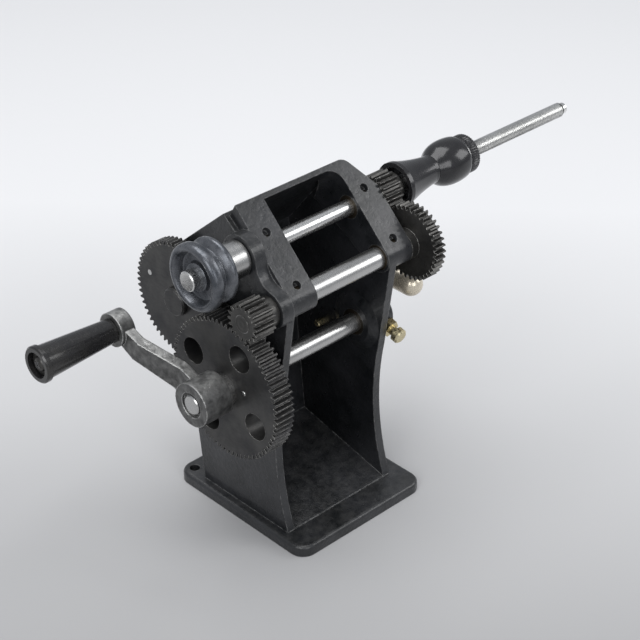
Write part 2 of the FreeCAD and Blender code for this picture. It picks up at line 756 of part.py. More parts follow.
def inner_cone():
    """Fixed centring cone: a cup-ended taper with its narrow end towards the other cone."""
    lip_x = inner_cone_x + inner_cone_lip
    floor_x = inner_cone_x + inner_cone_recess
    neck_x = cone_meet_x - waist_length
    middle_r = (inner_cone_r + waist_r) / 2 - fine_break
    profile = [(lip_x, inner_cone_r), ((lip_x + neck_x) / 2, middle_r), (neck_x, waist_r)]
    return cone_of(profile, [
        (cone_meet_x, waist_r), (cone_meet_x, spindle_r), (floor_x, spindle_r),
        (floor_x, inner_cone_recess_r - edge_break), (inner_cone_x, inner_cone_recess_r),
        (inner_cone_x, inner_cone_r)])


def outer_cone():
    """Sliding centring cone, bell shaped, pushed along by the nut."""
    bore_r = spindle_r + running_gap
    flare_x = outer_cone_x + outer_cone_bulge / 2
    flare_r = (waist_r + 2 * outer_cone_r) / 3
    profile = [(outer_cone_x, waist_r), (flare_x, flare_r), (outer_cone_x + outer_cone_bulge, outer_cone_r),
               (outer_cone_end_x, outer_cone_end_r)]
    return cone_of(profile, [(outer_cone_end_x, bore_r), (outer_cone_x, bore_r)])


def clamp_washer_ring():
    end_x = outer_cone_end_x + clamp_washer
    ring = rod(spindle_axis, outer_cone_end_x, end_x, clamp_washer_r)
    return ring.cut(bore(spindle_axis, outer_cone_end_x, end_x, spindle_r + running_gap))


def clamp_nut():
    """Round nut that screws along the thread."""
    bore_r = spindle_r + running_gap
    return turned(spindle_axis, [
        (nut_x, bore_r), (nut_x, clamp_nut_r - fine_break), (nut_x + fine_break, clamp_nut_r),
        (nut_end_x - fine_break, clamp_nut_r), (nut_end_x, clamp_nut_r - fine_break), (nut_end_x, bore_r)])


def rear_gear_pins():
    """Two drive pins set flush in the rear gear's face."""
    outer = from_axis(rear_axis, rear_outer_pin_r, rear_outer_pin_angle)
    inner = from_axis(rear_axis, rear_inner_pin_r, rear_inner_pin_angle)
    return Part.makeCompound([rod(place, slow_front_x, slow_back_x, rear_pin_r) for place in (outer, inner)])


def rear_gear():
    """Large gear behind the crank, running on a stud of the left cheek."""
    first = facing_gap(rear_gear_lean, rear_gear_teeth)
    gear = toothed_disc(rear_axis, slow_front_x, slow_back_x, rear_gear_teeth, first)
    hole = bore(rear_axis, slow_front_x, slow_back_x, rear_stud_r + running_gap)
    return gear.cut(hole).cut(rear_gear_pins())


def rear_gear_stud():
    """Shoulder stud: head, journal for the gear and a shank through the cheek."""
    head_x = slow_front_x - end_play
    outer_x = head_x - rear_stud_head
    end_x = left_inner_x + rear_nut_length + overcut
    return turned(rear_axis, [
        (outer_x, 0), (outer_x, rear_stud_head_r - edge_break), (outer_x + edge_break, rear_stud_head_r),
        (head_x, rear_stud_head_r), (head_x, rear_stud_r), (boss_left_x, rear_stud_r),
        (boss_left_x, rear_shank_r), (end_x, rear_shank_r), (end_x, 0)])


def rear_stud_nut():
    nut = hexagon(at(rear_axis, left_inner_x), V(1, 0, 0), rear_nut_flats, rear_nut_length)
    return nut.cut(bore(rear_axis, left_inner_x, left_inner_x + rear_nut_length, rear_shank_r))


def side_peg():
    """Bent round peg on the right cheek: a stem out of the wall, then a domed end that points forward."""
    stem_axis = (peg_stem_y, peg_z)
    bend_x = peg_x - peg_bend_r
    bend_y = peg_stem_y - peg_bend_r
    stem = rod(stem_axis, right_cheek_x, bend_x, peg_r)
    spigot = rod(stem_axis, right_cheek_x - peg_spigot, right_cheek_x, peg_spigot_r)
    section = Part.Face(Part.Wire(Part.makeCircle(peg_r, at(stem_axis, bend_x), V(1, 0, 0))))
    bend = section.revolve(V(bend_x, bend_y, peg_z), V(0, 0, 1), -90)
    tip = V(peg_x, peg_stem_y - peg_reach, peg_z)
    front = Part.makeCylinder(peg_r, peg_reach - peg_bend_r, tip, V(0, 1, 0))
    return stem.fuse([spigot, bend, front, Part.makeSphere(peg_r, tip)]).removeSplitter()


def cheek_screw():
    """Brass screw through the right cheek, whose tip shows inside."""
    tip_x = right_inner_x - cheek_screw_tip
    head_x = right_cheek_x + cheek_screw_head
    return turned((cheek_screw_y, cheek_screw_z), [
        (tip_x, 0), (tip_x, cheek_screw_r - fine_break), (tip_x + fine_break, cheek_screw_r),
        (right_cheek_x, cheek_screw_r), (right_cheek_x, cheek_screw_head_r),
        (head_x, cheek_screw_head_r - edge_break), (head_x, 0)])


def along_locating(profile):
    """A solid of revolution about the locating screw's axis, from (reach from the shaft, radius) corners."""
    corners = [V(locating_x + radius, crank_y - reach, crank_z) for reach, radius in profile]
    face = Part.Face(Part.makePolygon(corners + corners[:1]))
    solid = face.revolve(V(locating_x, crank_y, crank_z), V(0, 1, 0), 360)
    return solid.rotate(at(crank_axis, 0), V(1, 0, 0), locating_dip)


def locating_screw():
    """Dog-point screw whose tip runs in the crank shaft's ring groove."""
    tip = groove_shaft_r + face_gap
    shoulder = tip + locating_tip
    head_under = locating_reach - locating_head
    return along_locating([
        (tip, 0), (tip, locating_tip_r), (shoulder, locating_tip_r), (shoulder, locating_r),
        (head_under, locating_r), (head_under, locating_head_r), (locating_reach - edge_break, locating_head_r),
        (locating_reach, locating_head_r - edge_break), (locating_reach, 0)])


def lock_nut():
    face = crank_boss_r + end_play
    near = face - overcut
    far = face + lock_nut_length + overcut
    nut = hexagon(V(locating_x, crank_y - face, crank_z), V(0, -1, 0), lock_nut_flats, lock_nut_length)
    nut.rotate(at(crank_axis, 0), V(1, 0, 0), locating_dip)
    return nut.cut(along_locating([(near, 0), (near, locating_r), (far, locating_r), (far, 0)]))


nodes = {
    "frame_casting": frame_casting(),
    "spindle_bush_left": bush(spindle_axis, pad_x, left_arm_inner_x, spindle_r),
    "spindle_bush_right": bush(spindle_axis, right_arm_inner_x, right_arm_x, spindle_r),
    "layshaft_bush_left": bush(layshaft_axis, pad_x, left_arm_inner_x, layshaft_journal_r),
    "layshaft_bush_right": bush(layshaft_axis, right_arm_inner_x, right_arm_x, layshaft_journal_r),
    "crank_bush_left": bush(crank_axis, boss_left_x, boss_left_x + crank_boss_left, crank_shaft_r),
    "crank_bush_right": bush(crank_axis, boss_right_x, boss_right_x + crank_bush_length, crank_shaft_r),
    "rear_gear_stud": rear_gear_stud(),
    "rear_stud_nut": rear_stud_nut(),
    "side_peg": side_peg(),
    "cheek_screw": cheek_screw(),
    "locating_screw": locating_screw(),
    "lock_nut": lock_nut(),
    "crank_shaft": crank_shaft(),
    "crank_gear": crank_gear(),
    "slow_gear": slow_gear(),
    "crank_spacer": crank_spacer(),
    "crank_arm": crank_arm(),
    "crank_key": crank_key(),
    "grip_bolt": grip_bolt(),
    "grip": grip(),
    "layshaft": layshaft(),
    "left_pinion": left_pinion(),
    "left_pinion_pin": cross_pin(layshaft_axis, left_pin_x, left_hub_r),
    "right_gear": right_gear(),
    "layshaft_washer": layshaft_washer_ring(),
    "layshaft_nut": layshaft_nut(),
    "spindle": spindle(),
    "spindle_pinion": spindle_pinion(),
    "spindle_pinion_pin": cross_pin(spindle_axis, spindle_pin_x, spindle_hub_r),
    "pulley": pulley(),
    "pulley_set_screw": set_screw(groove_x, groove_r),
    "spindle_collar": spindle_collar(),
    "collar_set_screw": set_screw(collar_screw_x, collar_r),
    "inner_cone": inner_cone(),
    "outer_cone": outer_cone(),
    "clamp_washer": clamp_washer_ring(),
    "clamp_nut": clamp_nut(),
    "rear_gear": rear_gear(),
    "rear_gear_pins": rear_gear_pins(),
}

os.makedirs("parts", exist_ok=True)
for name, shape in nodes.items():
    shape.exportStep("parts/" + name + ".step")
    print(name, len(shape.Solids), round(shape.Volume, 1), shape.isValid())
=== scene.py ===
# %% [markdown]
# This lesson dresses a hand-cranked coil winder: an iron casting, a crank, a train of cut gears and
# a long threaded spindle with two cones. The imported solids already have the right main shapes, so
# most of the work here goes into finishes. New pieces are modelled only where a solid leaves
# something plain: the turns of the thread, the knurl of the nut and a few turned shapes.

# %% Load the frame
import bpy
import bmesh
import json
import math
from mathutils import Matrix, Vector


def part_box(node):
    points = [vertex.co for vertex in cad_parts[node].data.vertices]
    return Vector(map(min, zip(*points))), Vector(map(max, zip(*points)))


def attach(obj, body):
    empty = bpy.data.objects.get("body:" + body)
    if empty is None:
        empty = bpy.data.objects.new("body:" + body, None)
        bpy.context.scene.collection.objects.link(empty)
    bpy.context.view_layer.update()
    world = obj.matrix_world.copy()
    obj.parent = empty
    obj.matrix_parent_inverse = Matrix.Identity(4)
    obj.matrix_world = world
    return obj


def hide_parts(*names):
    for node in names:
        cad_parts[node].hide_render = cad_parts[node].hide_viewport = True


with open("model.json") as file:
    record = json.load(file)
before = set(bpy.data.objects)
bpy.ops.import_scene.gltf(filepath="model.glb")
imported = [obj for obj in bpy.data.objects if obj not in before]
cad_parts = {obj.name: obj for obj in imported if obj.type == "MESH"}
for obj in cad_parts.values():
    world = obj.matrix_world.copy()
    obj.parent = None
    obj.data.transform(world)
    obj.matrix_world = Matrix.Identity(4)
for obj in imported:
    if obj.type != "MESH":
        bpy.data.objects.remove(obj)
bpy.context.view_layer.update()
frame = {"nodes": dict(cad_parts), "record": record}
nodes = frame["nodes"]
print("nodes loaded:", len(nodes))

# %% [markdown]
# The camera looks down on the crank side from the front left. It could be aimed at a target, but
# its three directions are worked out here from angles, because that also gives its slight roll.
# A long lens keeps the shafts nearly parallel.

# %% Camera
camera_place = Vector((-0.5322, -0.5534, 0.5855))
camera_azimuth = -44.57
camera_elevation = 32.28
camera_roll = 0.83
lens_mm = 103.3
sensor_mm = 36.0

def place_camera():
    angles = (camera_azimuth, camera_elevation, camera_roll)
    az, el, tilt = (math.radians(angle) for angle in angles)
    right = Vector((math.cos(az), math.sin(az), 0))
    back = Vector((math.sin(az) * math.cos(el), -math.cos(az) * math.cos(el), math.sin(el)))
    up = back.cross(right)
    level = right * math.cos(tilt) + up * math.sin(tilt)
    rise = up * math.cos(tilt) - right * math.sin(tilt)
    data = bpy.data.cameras.new("photo_camera")
    data.sensor_width = sensor_mm
    data.lens = lens_mm
    data.clip_start = 0.01
    camera = bpy.data.objects.new("photo_camera", data)
    turn = Matrix((level, rise, back)).transposed().to_4x4()
    camera.matrix_world = Matrix.Translation(camera_place) @ turn
    bpy.context.collection.objects.link(camera)
    bpy.context.scene.camera = camera

place_camera()
bpy.context.scene.view_settings.view_transform = "Standard"
print("camera lens:", lens_mm, "mm")

# %% [markdown]
# Every finish is a small tree of nodes. It could be wired by hand, link by link, but that hides
# what the finish does. Two helpers start a finish and add a node with its values, so the recipes
# further down stay short.

# %% Start a finish and add a node
def new_finish(name):
    material = bpy.data.materials.new(name)
    material.use_nodes = True
    return material, material.node_tree, material.node_tree.nodes["Principled BSDF"]

def put(tree, kind, **values):
    node = tree.nodes.new("ShaderNode" + kind)
    for key, value in values.items():
        if key in node.inputs:
            node.inputs[key].default_value = value
        else:
            setattr(node, key, value)
    return node

print("Blender", bpy.app.version_string)

# %% [markdown]
# Real metal is never one even tone. The unevenness could be painted, but a noise needs no picture.
# It is read in Object coordinates, so it stays where it is on the piece when a shaft turns, and
# stretching it along one axis makes turning marks.

# %% Speckle and ramp
noise_detail = 4.0
noise_roughness = 0.6

def object_space(tree, stretch=(1, 1, 1)):
    where = put(tree, "TexCoord")
    mapping = put(tree, "Mapping", Scale=stretch)
    tree.links.new(where.outputs["Object"], mapping.inputs["Vector"])
    return mapping.outputs["Vector"]

def speckle(tree, size_mm, stretch=(1, 1, 1)):
    noise = put(tree, "TexNoise", Scale=1000.0 / size_mm, Detail=noise_detail,
                Roughness=noise_roughness)
    tree.links.new(object_space(tree, stretch), noise.inputs["Vector"])
    return noise.outputs["Fac"]

def ramp(tree, source, low, high, low_at=0.0, high_at=1.0):
    limits = {"From Min": low_at, "From Max": high_at, "To Min": low, "To Max": high}
    node = put(tree, "MapRange", **limits)
    tree.links.new(source, node.inputs["Value"])
    return node.outputs["Result"]

print("noise detail:", noise_detail)

# %% [markdown]
# Two layers of a finish meet by a mask: bare metal under paint, or dust over it. A Mix node blends
# the colours, and a clamped product joins two masks. The Mix node has sockets for several kinds of
# value under the same names, so the ones for colour are picked by number.

# %% Blend colours and join masks
colour_a = 6
colour_b = 7
mixed_colour = 2

def blend_colours(tree, fac, first, second):
    node = put(tree, "Mix", data_type="RGBA")
    tree.links.new(fac, node.inputs["Factor"])
    for index, value in ((colour_a, first), (colour_b, second)):
        if isinstance(value, tuple):
            node.inputs[index].default_value = (*value, 1)
        else:
            tree.links.new(value, node.inputs[index])
    return node.outputs[mixed_colour]

def clamped_product(tree, first, second):
    node = put(tree, "Math", operation="MULTIPLY", use_clamp=True)
    tree.links.new(first, node.inputs[0])
    tree.links.new(second, node.inputs[1])
    return node.outputs["Value"]

# %% [markdown]
# Paint and blacking wear through first along sharp edges. Those could be marked by hand, but the
# Bevel node finds them: it gives the normal of a softened edge, and where that differs from the
# true normal an edge is near. A noise breaks the wear up, so that it isn't a drawn outline.

# %% Wear along the edges
wear_patch_mm = 3.0

def worn_edges(tree, radius_mm):
    """The softened normal, and 1 where a sharp edge is near."""
    soft = put(tree, "Bevel", Radius=radius_mm / 1000)
    true = put(tree, "NewGeometry")
    dot = put(tree, "VectorMath", operation="DOT_PRODUCT")
    tree.links.new(soft.outputs["Normal"], dot.inputs[0])
    tree.links.new(true.outputs["Normal"], dot.inputs[1])
    edge = ramp(tree, dot.outputs["Value"], low=1.0, high=0.0, low_at=0.80, high_at=0.97)
    return soft.outputs["Normal"], edge

def wear_through(tree, base, bare, share, edge_mm):
    soft, edge = worn_edges(tree, edge_mm)
    noise = speckle(tree, wear_patch_mm)
    patches = ramp(tree, noise, low=0.0, high=share * 2, low_at=0.4, high_at=0.6)
    return soft, blend_colours(tree, clamped_product(tree, edge, patches), base, bare)

print("wear patches:", wear_patch_mm, "mm")

# %% [markdown]
# Faces that look up are paler. On the casting and the large gears this is dust. On the crank arm it
# is a painted sheen, the light from above painted into its colour. The normal could be read in the
# world, but then the pale side would wander over a turning arm. So it is read in the piece's own
# space.

# %% Pale upper faces
dust_and_sheen_patch_mm = 5.0

def dust_and_painted_sheen(tree, base, amount, colour):
    up = put(tree, "SeparateXYZ")
    tree.links.new(put(tree, "TexCoord").outputs["Normal"], up.inputs["Vector"])
    # upward faces get paler: dust on the casting and gears, a painted sheen of light from above on
    # the crank arm
    upward = ramp(tree, up.outputs["Z"], low=0.0, high=amount, low_at=0.5, high_at=1.0)
    noise = speckle(tree, dust_and_sheen_patch_mm)
    patches = ramp(tree, noise, low=0.2, high=1.0, low_at=0.4, high_at=0.62)
    return blend_colours(tree, clamped_product(tree, upward, patches), base, colour)

print("dust patches:", dust_and_sheen_patch_mm, "mm")

# %% [markdown]
# One recipe serves every surface here: a colour that drifts over the piece, grain that breaks up
# the gloss, a little bump, and wear, dust and painted sheen where they are asked for. Each finish
# could have a tree of its own, but one function with named values is easier to tune against a
# photograph.

# %% The finish recipe
bump_strength = 0.6
coat_roughness = 0.12

def metal_finish(name, colour, drift, metallic, gloss, grain_mm, bump_mm, wear=None,
                 wear_share=0.5, stretch=(1, 1, 1), edge_mm=0.35, coat=0.0, dust=0.0,
                 dust_and_sheen_colour=(0.42, 0.41, 0.39), patch_mm=14.0, spread=0.11):
    material, tree, shader = new_finish(name)
    patches = ramp(tree, speckle(tree, patch_mm), low=0.0, high=1.0, low_at=0.35, high_at=0.65)
    base = blend_colours(tree, patches, colour, drift)
    grain = speckle(tree, grain_mm, stretch)
    rough = put(tree, "Bump", Strength=bump_strength, Distance=bump_mm / 1000)
    if wear:
        soft, base = wear_through(tree, base, wear, wear_share, edge_mm)
        tree.links.new(soft, rough.inputs["Normal"])
    if dust:
        base = dust_and_painted_sheen(tree, base, dust, dust_and_sheen_colour)
    tree.links.new(base, shader.inputs["Base Color"])
    roughness = ramp(tree, grain, gloss - spread, gloss + spread, low_at=0.3, high_at=0.7)
    tree.links.new(roughness, shader.inputs["Roughness"])
    shader.inputs["Metallic"].default_value = metallic
    shader.inputs["Coat Weight"].default_value = coat
    shader.inputs["Coat Roughness"].default_value = coat_roughness
    tree.links.new(grain, rough.inputs["Height"])
    tree.links.new(rough.outputs["Normal"], shader.inputs["Normal"])
    return material

print("bump strength:", bump_strength)

# %% [markdown]
# The dark finishes come first. The casting has black enamel over rough iron, the large gears are
# blackened and oiled, the pinions and the bronze bushes are a little paler, and the cones and the
# nut are glossy black. The thread's root is darker, as painted shade in the groove. The grip is a
# polished black moulding, which is not metal, but the same recipe suits it with no metal in it.

# %% Dark finishes
dark_recipes = {
    "frame_paint": dict(
        colour=(0.005, 0.006, 0.007), drift=(0.022, 0.023, 0.026), metallic=0.0, gloss=0.36,
        grain_mm=2.4, bump_mm=0.55, wear=(0.20, 0.20, 0.20), edge_mm=0.9, coat=0.3, dust=0.05,
        patch_mm=22.0),
    "gear_steel": dict(
        colour=(0.036, 0.036, 0.038), drift=(0.072, 0.071, 0.069), metallic=0.7, gloss=0.40,
        grain_mm=0.7, bump_mm=0.04, wear=(0.42, 0.41, 0.39), wear_share=0.8,
        stretch=(1, 0.25, 1), dust=0.05),
    "pinion_steel": dict(
        colour=(0.060, 0.059, 0.057), drift=(0.112, 0.109, 0.104), metallic=0.85, gloss=0.36,
        grain_mm=0.6, bump_mm=0.03, wear=(0.44, 0.43, 0.41), wear_share=0.7,
        stretch=(0.15, 1, 1)),
    "bronze": dict(
        colour=(0.055, 0.042, 0.028), drift=(0.030, 0.026, 0.020), metallic=0.8, gloss=0.42,
        grain_mm=0.6, bump_mm=0.02),
    "black_oxide": dict(
        colour=(0.018, 0.018, 0.020), drift=(0.030, 0.030, 0.032), metallic=0.4, gloss=0.22,
        grain_mm=0.6, bump_mm=0.01, wear=(0.25, 0.25, 0.26), wear_share=0.4, coat=0.3),
    # painted shade for the groove of the thread
    "thread_root_shade": dict(
        colour=(0.095, 0.095, 0.093), drift=(0.060, 0.060, 0.058), metallic=0.8, gloss=0.50,
        grain_mm=0.5, bump_mm=0.01),
    "moulded_black": dict(
        colour=(0.012, 0.012, 0.013), drift=(0.020, 0.019, 0.018), metallic=0.0, gloss=0.26,
        grain_mm=1.1, bump_mm=0.02, wear=(0.07, 0.065, 0.06), coat=0.4),
}
finishes = {name: metal_finish(name, **recipe) for name, recipe in dark_recipes.items()}
print("dark finishes:", len(finishes))

# %% [markdown]
# The brighter finishes follow: ground shafts, the zinc of the thread and of the yellow screws, the
# nickel of the bent peg, the blue-grey of the pulley and the rough crank arm. The arm's edges are
# rubbed bright, and its upper side is paler as a painted sheen of the light from above. On the
# shafts the grain runs round the bar, as a grinding wheel leaves it.

# %% Brighter finishes
bright_recipes = {
    "bright_steel": dict(
        colour=(0.58, 0.58, 0.575), drift=(0.48, 0.475, 0.465), metallic=1.0, gloss=0.28,
        grain_mm=0.5, bump_mm=0.003, stretch=(4, 0.2, 0.2), spread=0.04, patch_mm=30.0),
    "pulley_blue": dict(
        colour=(0.075, 0.082, 0.094), drift=(0.165, 0.172, 0.188), metallic=0.75, gloss=0.32,
        grain_mm=0.9, bump_mm=0.04, wear=(0.36, 0.37, 0.39), wear_share=0.6, patch_mm=7.0),
    "arm_casting": dict(
        colour=(0.080, 0.080, 0.079), drift=(0.19, 0.19, 0.187), metallic=0.8, gloss=0.40,
        grain_mm=1.5, bump_mm=0.30, wear=(0.62, 0.62, 0.61), wear_share=1.0, edge_mm=1.0,
        # the crank arm's strong pale upper side is a painted sheen of the light from above
        patch_mm=4.0, dust=0.75, dust_and_sheen_colour=(0.50, 0.50, 0.49)),
    "yellow_zinc": dict(
        colour=(0.62, 0.52, 0.28), drift=(0.66, 0.60, 0.42), metallic=1.0, gloss=0.30,
        grain_mm=0.7, bump_mm=0.02),
    "nickel": dict(
        colour=(0.74, 0.68, 0.56), drift=(0.62, 0.55, 0.44), metallic=0.45, gloss=0.26,
        grain_mm=0.8, bump_mm=0.01),
    "bright_zinc": dict(
        colour=(0.80, 0.80, 0.79), drift=(0.66, 0.66, 0.65), metallic=1.0, gloss=0.27,
        grain_mm=0.5, bump_mm=0.01),
}
finishes.update({name: metal_finish(name, **recipe) for name, recipe in bright_recipes.items()})
print("finishes:", len(finishes))

# %% [markdown]
# Most solids take the finish that their slot in the record is named for. The grip, and a few
# solids that look darker or brighter than their slot says, are named here one by one.

# %% Dress the solids
own_finish = {
    "grip": "moulded_black",
    "rear_gear_stud": "gear_steel",
    "layshaft_nut": "gear_steel",
    "layshaft_washer": "gear_steel",
    "right_gear": "pinion_steel",
    "rear_gear_pins": "bright_steel",
}
for entry in frame["record"]["subparts"]:
    finish_name = own_finish.get(entry["node"], entry["material_slot"])
    target = nodes[entry["node"]]
    target.data.materials.clear()
    target.data.materials.append(finishes[finish_name])

# %% [markdown]
# Every new piece ends the same way, so one helper does it: doubles are merged, faces are turned
# outwards, the piece gets its finish and smooth shading with sharp corners, and it rides on the
# body that carries it.

# %% Finish a piece
merge_distance = 1e-6

def finished_piece(name, bm, finish, body, node, smooth_degrees=35, second=None):
    bmesh.ops.remove_doubles(bm, verts=bm.verts, dist=merge_distance)
    bmesh.ops.recalc_face_normals(bm, faces=bm.faces)
    mesh = bpy.data.meshes.new(name)
    bm.to_mesh(mesh)
    bm.free()
    mesh.materials.append(finishes[finish])
    if second:
        mesh.materials.append(finishes[second])
    mesh.shade_smooth()
    mesh.set_sharp_from_angle(angle=math.radians(smooth_degrees))
    piece = bpy.data.objects.new(name, mesh)
    bpy.context.collection.objects.link(piece)
    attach(piece, body)
    if node:
        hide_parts(node)
    print(name, len(mesh.polygons), "faces")

# %% [markdown]
# Nearly all that is left to model is round, and was turned on a lathe. Cylinders could be stacked
# and bevelled, but a spun outline gives every step and curve at once. Its corners are written as a
# place along the shaft and a radius, in millimetres.

# %% Lathe
def centre_of(node):
    low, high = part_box(node)
    return Vector((0, (low.y + high.y) / 2, (low.z + high.z) / 2))

def ends_mm(node):
    low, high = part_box(node)
    return low.x * 1000, high.x * 1000

spindle_axis = centre_of("spindle_collar")

def corners_at(bm, profile, axis):
    return [bm.verts.new(Vector((x / 1000, 0, r / 1000)) + axis) for x, r in profile]

def lathe(bm, profile, axis=spindle_axis, steps=64):
    verts = corners_at(bm, profile, axis)
    edges = [bm.edges.new(pair) for pair in zip(verts, verts[1:])]
    bmesh.ops.spin(bm, geom=verts + edges, cent=axis, axis=(1, 0, 0), angle=math.tau,
                   steps=steps, use_merge=True)

print("spindle axis:", tuple(round(v, 5) for v in spindle_axis))

# %% [markdown]
# The spindle is a ground bar with a thick seat for the pulley, and its outer end carries a fine
# thread. The bar is turned first, down to the thread's root where the thread will be. It could
# have one finish, but a darker root, painted shade in the groove, makes the turns read from
# further away.

# %% The bar of the spindle
bar_left, bar_right = ends_mm("spindle")
seat_end = ends_mm("spindle_collar")[1]
seat_r = 5.0
bar_r = 4.0
tip_r = 3.0
tip_length = 3.0
end_break = 0.5
run_in = 0.6
root_r = 3.25
crest_r = 3.95
thread_from = ends_mm("outer_cone")[0] + 1.0
thread_to = bar_right - tip_length

bar = bmesh.new()
lathe(bar, [(bar_left, 0), (bar_left, seat_r - end_break), (bar_left + end_break, seat_r),
            (seat_end, seat_r), (seat_end, bar_r), (thread_from, bar_r),
            (thread_from + run_in, root_r), (thread_to, root_r), (thread_to, tip_r),
            (bar_right - end_break, tip_r), (bar_right, tip_r - end_break), (bar_right, 0)])
# painted shade: faces at the thread's root take the darker second finish
root_limit = (root_r + crest_r) / 2 / 1000
for face in bar.faces:
    middle = face.calc_center_median() - spindle_axis
    in_thread = thread_from < middle.x * 1000 < thread_to
    if in_thread and Vector((middle.y, middle.z)).length < root_limit:
        face.material_index = 1
print("bar:", round(bar_right - bar_left, 1), "mm, thread:", round(thread_to - thread_from, 1), "mm")

# %% [markdown]
# The thread could be a bump, but its turns show against the light, so they are real. A small ridge
# is spun with a forward step, as a cutting tool would trace it, and its two ends are closed.

# %% The turns of the thread
pitch = 1.25
steps_a_turn = 24
ridge_foot_r = root_r - 0.1
ridge = [(0.2, ridge_foot_r), (0.44, crest_r), (0.56, crest_r), (0.8, ridge_foot_r)]

turns = int((thread_to - thread_from - pitch) / pitch)
start = corners_at(bar, [(thread_from + pitch * share, r) for share, r in ridge], spindle_axis)
outline = [bar.edges.new(pair) for pair in zip(start, start[1:] + start[:1])]
wound = bmesh.ops.spin(bar, geom=start + outline, cent=spindle_axis, axis=(1, 0, 0),
                       angle=math.tau * turns, steps=turns * steps_a_turn,
                       dvec=(pitch / 1000 / steps_a_turn, 0, 0))
last_edges = [e for e in wound["geom_last"] if isinstance(e, bmesh.types.BMEdge)]
for loop in (outline, last_edges):
    bmesh.ops.contextual_create(bar, geom=loop)
finished_piece("threaded_spindle", bar, "bright_zinc", "spindle", "spindle",
               smooth_degrees=40, second="thread_root_shade")
print("turns:", turns)

# %% [markdown]
# The nut that presses the sliding cone is turned by finger and thumb, so its rim is cut with
# straight knurls. They could be a bump, but the rim would stay a smooth circle from the side. So
# every third corner of a circle is drawn in, and the outline is pulled along the axis.

# %% Knurled nut
knurl_corners = 144
knurl_depth = 0.965
knurl_proud = 0.0006
rim_break = 0.0004
level_with = 1e-6

def knurled_nut():
    low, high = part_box("clamp_nut")
    radius = (high.z - low.z) / 2 + knurl_proud
    centre = Vector((low.x, 0, 0)) + spindle_axis
    bm = bmesh.new()
    turn = Matrix.Translation(centre) @ Matrix.Rotation(math.pi / 2, 4, "Y")
    ring = bmesh.ops.create_circle(bm, cap_ends=True, segments=knurl_corners, radius=radius,
                                   matrix=turn)["verts"]
    for vert in ring[::3]:
        vert.co = centre + (vert.co - centre) * knurl_depth
    grown = bmesh.ops.extrude_face_region(bm, geom=list(bm.faces))["geom"]
    moved = [v for v in grown if isinstance(v, bmesh.types.BMVert)]
    bmesh.ops.translate(bm, verts=moved, vec=(high.x - low.x, 0, 0))
    rims = [e for e in bm.edges if abs(e.verts[0].co.x - e.verts[1].co.x) < level_with]
    bmesh.ops.bevel(bm, geom=rims, offset=rim_break, affect="EDGES", segments=2, profile=0.5,
                    material=-1)
    finished_piece("knurled_nut", bm, "black_oxide", "clamp_nut", "clamp_nut", 30)

knurled_nut()

# %% [markdown]
# The belt pulley is cast and then turned, with a broad round rim in front, a V groove, a smaller
# rim behind it and a shallow dish round the hub. Bevels on the solid could soften its rims, but not
# make them round. The outline is written in four groups, so that each form is easy to change.

# %% Belt pulley
pulley_bore = 5.02
dish = [(2.6, pulley_bore), (2.6, 6.9), (2.9, 7.2), (5.0, 7.3), (5.4, 7.8), (5.4, 11.2),
        (5.1, 11.9), (1.0, 13.0)]
front_rim = [(0.3, 13.5), (0.0, 14.3), (0.1, 15.2), (0.5, 16.0), (1.2, 16.6), (2.2, 16.95),
             (3.6, 17.0), (4.8, 16.9), (5.6, 16.5), (6.0, 15.9)]
groove = [(6.8, 12.7), (7.2, 12.4), (9.9, 12.4), (10.3, 12.7)]
back_rim = [(12.0, 15.5), (12.5, 15.95), (13.2, 16.1), (14.2, 16.0), (14.8, 15.6), (15.0, 15.1),
            (15.0, pulley_bore)]

def turned_pulley():
    front = ends_mm("pulley")[0]
    bm = bmesh.new()
    profile = dish + front_rim + groove + back_rim + dish[:1]
    lathe(bm, [(front + x, r) for x, r in profile], steps=96)
    finished_piece("turned_pulley", bm, "pulley_blue", "spindle", "pulley", 30)

turned_pulley()

# %% [markdown]
# The grip turns on a screw with a low domed head. The dome could be a squashed sphere, but the
# lathe gives the head, its collar and the shank in one outline, with no seam between them.

# %% Grip screw
shank_r = 3.0
screw_head = [(2.6, shank_r), (2.6, 5.5), (1.9, 5.6), (1.8, 3.9), (1.1, 3.7), (0.5, 3.0),
              (0.15, 1.8), (0, 0)]

def grip_screw():
    front, back = ends_mm("grip_bolt")
    bm = bmesh.new()
    lathe(bm, [(back, 0), (back, shank_r)] + [(front + x, r) for x, r in screw_head],
          axis=centre_of("grip_bolt"))
    finished_piece("grip_screw", bm, "pinion_steel", "crank", "grip_bolt")

grip_screw()

# %% [markdown]
# The head has a cross for the screwdriver. It could be cut out of the dome, but two small dark bars
# set into the dome read as cuts at this size and keep the mesh simple. Their dark colour is painted
# shade, in place of the shade inside the cut.

# %% Cross of the grip screw
cross_bar = (0.0008, 0.0042, 0.0010)
cross_sink = 0.00035
cross_turn = 0.4
cross_break = 0.0001

def grip_screw_cross():
    face = centre_of("grip_bolt") + Vector((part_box("grip_bolt")[0].x + cross_sink, 0, 0))
    bm = bmesh.new()
    for turn in (cross_turn, cross_turn + math.pi / 2):
        place = Matrix.Translation(face) @ Matrix.Rotation(turn, 4, "X")
        bmesh.ops.create_cube(bm, size=1.0, matrix=place @ Matrix.Diagonal((*cross_bar, 1)))
    bmesh.ops.bevel(bm, geom=list(bm.edges), offset=cross_break, affect="EDGES", segments=1,
                    profile=0.5, material=-1)
    # painted shade: the bars are dark in place of the shade inside the cross recess
    finished_piece("grip_screw_cross", bm, "black_oxide", "crank", None)

grip_screw_cross()

# %% [markdown]
# The sliding cone is a bell with a soft shoulder, blackened and polished by use. The solid could
# be smoothed, but that would shrink its rims. Its outline is spun anew, and is written as shares of
# its length, so that it still fits if the solid becomes longer.

